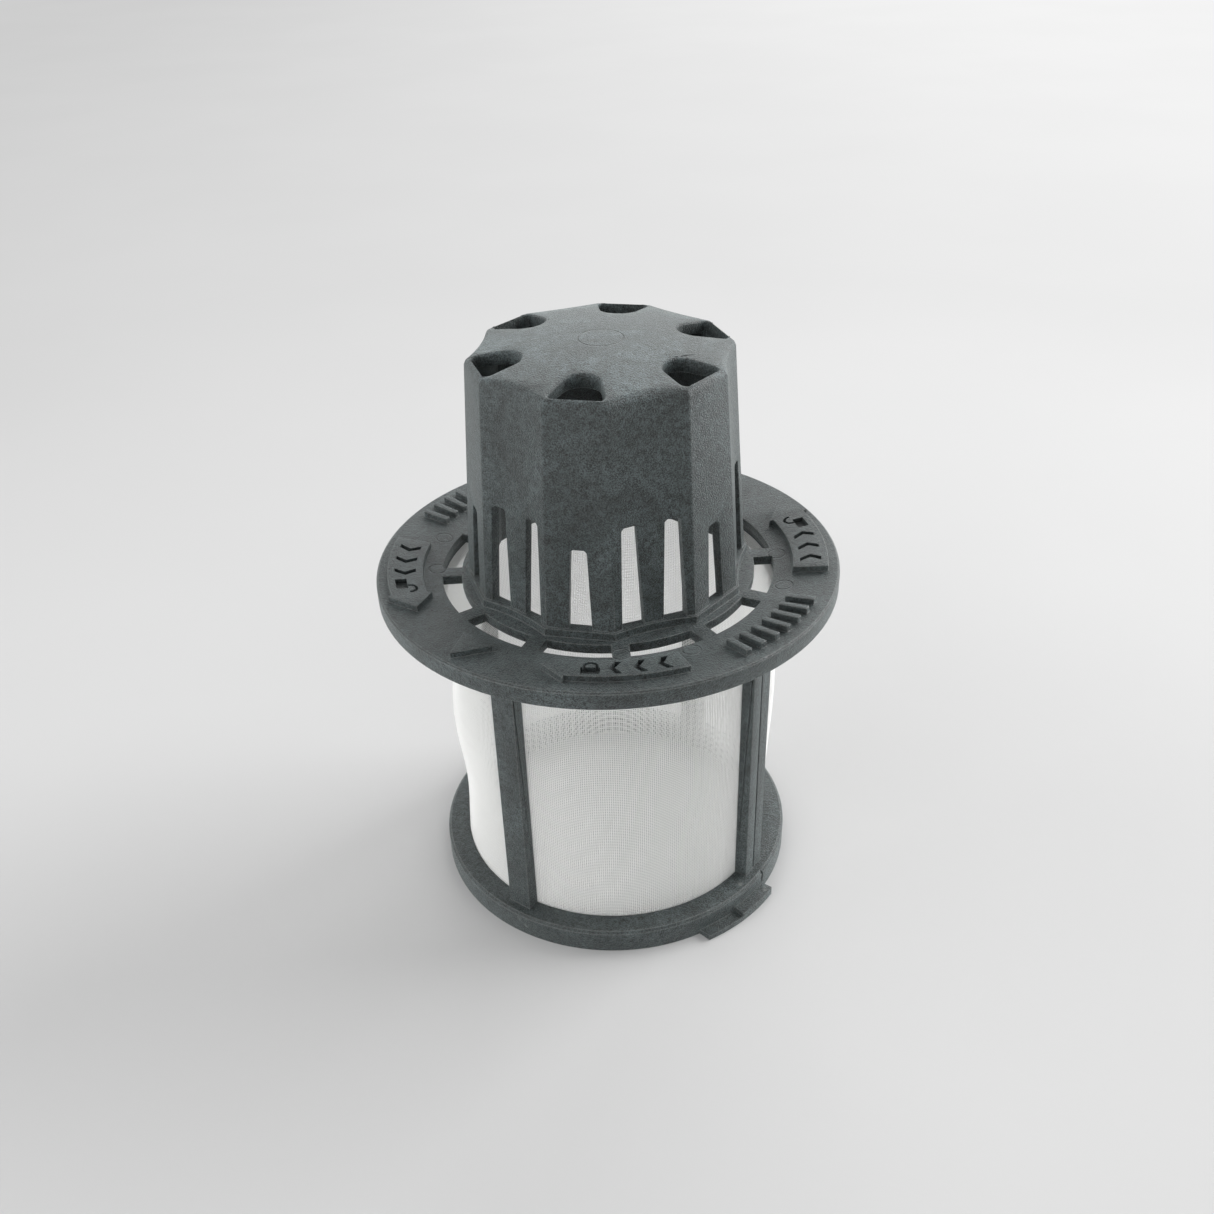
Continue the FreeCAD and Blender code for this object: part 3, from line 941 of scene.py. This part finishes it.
def cut_from(piece: bpy.types.Object, cutter: bpy.types.Object, marked: str) -> None:
    """Cuts one object out of another, and removes the cutter.

    Args:
        piece: The object that is cut.
        cutter: The object that cuts.
        marked: The point attribute that is 1 in the depth of the cuts and 0 elsewhere.
    """
    for cut, number in ((piece, 0), (cutter, 1)):
        give_slots(cut.data, number)
    modifier = piece.modifiers.new("signs", "BOOLEAN")
    modifier.operation = "DIFFERENCE"
    modifier.solver = "EXACT"
    modifier.material_mode = "INDEX"
    modifier.use_self = True
    modifier.object = cutter
    apply_modifiers(piece)
    bpy.data.objects.remove(cutter, do_unlink=True)
    mark_points(piece.data, marked)


def give_slots(mesh: bpy.types.Mesh, number: int) -> None:
    """Gives a mesh two plain material slots, and puts all its faces in one of them.

    Args:
        mesh: The mesh.
        number: The slot that the faces go in, 0 or 1.
    """
    mesh.materials.clear()
    for name in ("plain_faces", "marked_faces"):
        mesh.materials.append(bpy.data.materials.get(name) or bpy.data.materials.new(name))
    mesh.polygons.foreach_set("material_index", np.full(len(mesh.polygons), number, np.int32))


def mark_points(mesh: bpy.types.Mesh, name: str) -> None:
    """Makes a point attribute that is 1 where only faces of the second slot meet, and empties the slots.

    Args:
        mesh: The mesh.
        name: The attribute's name.
    """
    work = bmesh.new()
    work.from_mesh(mesh)
    layer = work.verts.layers.float.new(name)
    for vertex in work.verts:
        faces = vertex.link_faces
        vertex[layer] = float(len(faces) > 0 and all(face.material_index for face in faces))
    for face in work.faces:
        face.material_index = 0
    work.to_mesh(mesh)
    work.free()
    mesh.materials.clear()


def ease_edges(
    piece: bpy.types.Object, width: float, shares: Callable[[Vector], float], sharp: float = 28.0
) -> None:
    """Rounds a moulding's sharp edges, but not those of its sunk signs, and marks the rounding.

    The rounding's own points get 1 in a point attribute named edge, and all others 0.

    Args:
        piece: The moulding.
        width: The widest rounding in metres.
        shares: Gives each edge's share of that width from its middle point in metres.
        sharp: The least angle in degrees between two faces whose edge is rounded.
    """
    mesh = piece.data
    work = bmesh.new()
    work.from_mesh(mesh)
    sunk = work.verts.layers.float.get("sunk")
    weight = work.edges.layers.float.new("bevel_weight_edge")
    limit = math.radians(sharp)
    for edge in work.edges:
        around = [vertex for face in edge.link_faces for vertex in face.verts]
        cut = sunk is not None and any(vertex[sunk] > 0.5 for vertex in around)
        turned = len(edge.link_faces) == 2 and edge.calc_face_angle(0.0) > limit
        if turned and not cut and not any(map(is_sliver, edge.link_faces)):
            edge[weight] = shares((edge.verts[0].co + edge.verts[1].co) / 2.0)
    work.to_mesh(mesh)
    work.free()
    give_slots(mesh, 0)
    modifier = piece.modifiers.new("rounded_edges", "BEVEL")
    modifier.limit_method = "WEIGHT"
    modifier.width = width
    modifier.segments = 3
    modifier.use_clamp_overlap = False
    modifier.material = 1
    apply_modifiers(piece)
    mark_points(piece.data, "edge")


def is_sliver(face: bmesh.types.BMFace, narrowest: float = 3e-5) -> bool:
    """Says whether a face is too narrow, in metres, for its direction to mean anything."""
    return 2.0 * face.calc_area() < narrowest * max(edge.calc_length() for edge in face.edges)


def shade_smooth(piece: bpy.types.Object, crease: float = 38.0) -> None:
    """Drops a piece's shortest edges and shades it smooth.

    Args:
        piece: The piece.
        crease: The angle in degrees between two faces from which their edge stays sharp.
    """
    limit = math.radians(crease)
    work = bmesh.new()
    work.from_mesh(piece.data)
    bmesh.ops.dissolve_degenerate(work, edges=work.edges, dist=MERGED_WITHIN)
    for face in work.faces:
        face.smooth = True
    for edge in work.edges:
        edge.smooth = len(edge.link_faces) == 2 and edge.calc_face_angle(0.0) < limit
    work.to_mesh(piece.data)
    work.free()


def apply_modifiers(piece: bpy.types.Object) -> None:
    """Makes a piece's modifiers part of its mesh.

    Args:
        piece: The piece.
    """
    depsgraph = bpy.context.evaluated_depsgraph_get()
    made = bpy.data.meshes.new_from_object(piece.evaluated_get(depsgraph))
    piece.modifiers.clear()
    old = piece.data
    piece.data = made
    bpy.data.meshes.remove(old)


# --- the mesh ---


@dataclass(frozen=True)
class PanelWave:
    """How one panel of cloth between two ribs bulges in and out, as sines over its height."""

    start_angle: float
    sines: tuple[float, ...]


@dataclass
class WovenSleeve:
    """The sleeve of square-woven thread, held at the ribs and bands and free to bulge between them."""

    node: str = "mesh_sleeve"
    name: str = "woven_sleeve"
    radius: float = 43.3
    low: float = 0.2
    high: float = 88.6
    held_low: float = 6.8
    held_high: float = 84.6
    upright_count: int = 492
    ring_count: int = 158
    upright_steps: int = 17
    ring_steps: int = 128
    thread: float = 0.235
    weave_step: float = 0.05
    rib_angle: float = -38.7
    rib_step: float = 90.0
    waves: tuple[PanelWave, ...] = (
        PanelWave(-128.7, (-0.18, -0.07, -0.96, 0.35)),
        PanelWave(-38.7, (-0.25, 0.15, -0.30, 0.10)),
        PanelWave(51.3, (1.25, -0.61, -0.07, 0.0)),
        PanelWave(141.3, (-0.20, 0.10, -0.25, 0.10)),
    )

    def bulge(self, angle: np.ndarray, height: np.ndarray) -> np.ndarray:
        """Gives how far the cloth stands out from its plain tube, in millimetres.

        Across a panel the share s runs from 0 to 1 between two ribs, and up the cage t runs from 0 to 1
        between the bands. The bulge is (1 - (2s - 1)^4) * sum over n of wave_n * sin(n * pi * t).

        Args:
            angle: Angles in degrees.
            height: Heights in millimetres, of the same shape.

        Returns:
            The bulge, of the same shape.
        """
        from_rib = np.mod(angle - self.rib_angle, 360.0)
        panel = np.minimum((from_rib // self.rib_step).astype(int), len(self.waves) - 1)
        across = np.mod(from_rib, self.rib_step) / self.rib_step
        up = np.clip((height - self.held_low) / (self.held_high - self.held_low), 0.0, 1.0)
        ordered = sorted(self.waves, key=lambda wave: (wave.start_angle - self.rib_angle) % 360.0)
        sizes = np.array([wave.sines for wave in ordered])[panel]
        orders = np.arange(1, sizes.shape[-1] + 1)
        waves = (sizes * np.sin(np.pi * up[..., None] * orders)).sum(axis=-1)
        return (1.0 - (2.0 * across - 1.0) ** 4) * waves

    def surface(self, angle: np.ndarray, height: np.ndarray, lift: float) -> tuple[np.ndarray, np.ndarray]:
        """Gives points on the cloth and the directions away from the axis there.

        A point is ((R + bulge + lift) sin a, -(R + bulge + lift) cos a, height).

        Args:
            angle: Angles in degrees.
            height: Heights in millimetres, of the same shape.
            lift: How far the thread's middle stands outside the cloth's middle, in millimetres.

        Returns:
            The points in metres and the unit directions, each with a last index of 3.
        """
        turn = np.radians(angle)
        outward = np.stack([np.sin(turn), -np.cos(turn), np.zeros_like(turn)], axis=-1)
        reach = self.radius + self.bulge(angle, height) + lift
        points = outward * reach[..., None]
        points[..., 2] = height
        return mm(points), outward

    def build(self, finish: MeshThread, effects: EffectLibrary) -> bpy.types.Object:
        """Builds and dresses the piece: the uprights outside the cloth's middle and the rings inside it.

        Args:
            finish: The thread's finish.
            effects: The shader groups.

        Returns:
            The piece, which stands for the CAD node.
        """
        half = self.thread / 2.0
        around = np.arange(self.upright_count) * 360.0 / self.upright_count
        levels = np.linspace(self.low, self.high, self.upright_steps)
        angle, height = np.broadcast_arrays(around[:, None], levels[None, :])
        uprights = thread_bundle(*self.surface(angle, height, self.weave_step), mm(half), closed=False)
        levels = np.linspace(self.low + half, self.high - half, self.ring_count)
        around = np.arange(self.ring_steps) * 360.0 / self.ring_steps
        height, angle = np.broadcast_arrays(levels[:, None], around[None, :])
        rings = thread_bundle(*self.surface(angle, height, -self.weave_step), mm(half), closed=True)
        points = np.concatenate([uprights[0], rings[0]])
        quads = np.concatenate([uprights[1], rings[1] + len(uprights[0])])
        piece = quad_mesh(self.name, points, quads, uprights[2])
        piece.data.materials.append(finish.material(effects))
        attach(piece, BODY)
        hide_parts(self.node)
        return piece


# --- the studio ---


def aimed_from(place: Place, aim: Place) -> Matrix:
    """Gives the turn of a lamp or camera that looks from one place towards another."""
    return (Vector(aim) - Vector(place)).to_track_quat("-Z", "Y").to_matrix().to_4x4()


@dataclass(frozen=True)
class SoftLight:
    """One square soft light: its place and aim in metres, its size and its power."""

    name: str
    place: Place
    size: float
    power: float
    aim: Place = (0.0, 0.0, 0.06)

    def build(self) -> None:
        """Builds the light."""
        data = bpy.data.lights.new(self.name, "AREA")
        data.shape = "SQUARE"
        data.size = self.size
        data.energy = self.power
        light = linked_object(self.name, data)
        light.location = self.place
        light.rotation_euler = aimed_from(self.place, self.aim).to_euler()


@dataclass
class Studio:
    """Pale floor, even surroundings, soft lights and the camera at the photograph's angle, in metres.

    `surroundings` is the level of the world's light, and `seen_surroundings` the level at which the
    background above the floor is seen.
    """

    lens: float = 36.774
    sensor: float = 36.0
    eye: Place = (-0.01714, -0.27888, 0.25960)
    target: Place = (-0.00057, 0.00003, 0.07811)
    roll: float = -1.86
    floor_size: float = 8.0
    surroundings: float = 0.53
    seen_surroundings: float = 0.78
    lights: tuple[SoftLight, ...] = (
        SoftLight("back_softbox", (0.5, 1.6, 1.15), 1.4, 11.0),
        SoftLight("right_softbox", (1.3, 0.46, 0.62), 1.0, 21.5),
        SoftLight("left_softbox", (-1.35, 0.1, 0.60), 1.1, 5.5),
        SoftLight("front_fill", (-1.20, -1.15, 0.50), 1.0, 8.0),
    )

    def build(self) -> None:
        """Builds the floor, the surroundings, the lights and the camera."""
        self._floor()
        self._surroundings()
        for light in self.lights:
            light.build()
        self._camera()

    def _floor(self) -> None:
        """Builds the floor, as one large flat sheet."""
        half = self.floor_size / 2.0
        corners = np.array([(-half, -half, 0.0), (half, -half, 0.0), (half, half, 0.0), (-half, half, 0.0)])
        floor = mesh_piece("floor", corners, [[0, 1, 2, 3]])
        floor.data.materials.append(StudioFloor().material())

    def _surroundings(self) -> None:
        """Builds an even pale world."""
        world = bpy.data.worlds.new("pale_studio")
        world.use_nodes = True
        nodes = NodeMaker(world.node_tree)
        nodes.tree.nodes.clear()
        level = nodes.remap(nodes.seen_rays(), 0.0, 1.0, self.surroundings, self.seen_surroundings)
        light = nodes.add("Background", 0, {"Color": (1.0, 1.0, 1.0, 1.0), "Strength": level})
        output = nodes.tree.nodes.new("ShaderNodeOutputWorld")
        nodes.put(light, output.inputs["Surface"])
        bpy.context.scene.world = world

    def _camera(self) -> None:
        """Builds the camera: aimed, then rolled about its own line of sight."""
        data = bpy.data.cameras.new("camera")
        data.lens = self.lens
        data.sensor_width = self.sensor
        data.clip_start = 0.01
        data.clip_end = 30.0
        camera = linked_object("camera", data)
        rolled = aimed_from(self.eye, self.target) @ Matrix.Rotation(math.radians(self.roll), 4, "Z")
        camera.matrix_world = Matrix.Translation(self.eye) @ rolled
        bpy.context.scene.camera = camera


# --- main ---


def report(piece: bpy.types.Object) -> None:
    """Logs a piece's name and how many triangles it has."""
    piece.data.calc_loop_triangles()
    LOG.info("%s: %d triangles", piece.name, len(piece.data.loop_triangles))


def main() -> None:
    """Builds the studio and every piece of the filter, in order."""
    logging.basicConfig(level=logging.INFO, format="%(name)s %(message)s", stream=sys.stdout)
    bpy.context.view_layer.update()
    bpy.context.scene.view_settings.view_transform = "Standard"
    Studio().build()
    effects = EffectLibrary()
    effects.build()
    ejector_pins = ((42.4, -0.2), (45.9, 20.9), (46.6, 68.1), (44.5, 88.0))
    rings = [Spot(radius, angle + side, 93.2, 2.2) for side in (0.0, 180.0) for radius, angle in ejector_pins]
    rings.append(Spot(0.0, 0.0, 153.8, 5.4))
    scuffs = (
        Spot(52.0, 49.5, 2.6, 2.4),
        Spot(47.6, 42.0, 6.8, 1.6),
        Spot(49.8, -36.5, 5.0, 1.5),
        Spot(49.8, -34.0, 3.4, 1.3),
    )
    top_plastic = FilledPlastic("filled_plastic_top", rings=tuple(rings))
    cage_plastic = FilledPlastic("filled_plastic_cage", cloud_share=0.25, scuffs=scuffs)
    report(StrainerTop().build(top_plastic, effects))
    report(Cage().build(cage_plastic, effects))
    report(WovenSleeve().build(MeshThread("mesh_thread"), effects))


if __name__ == "__main__":
    main()
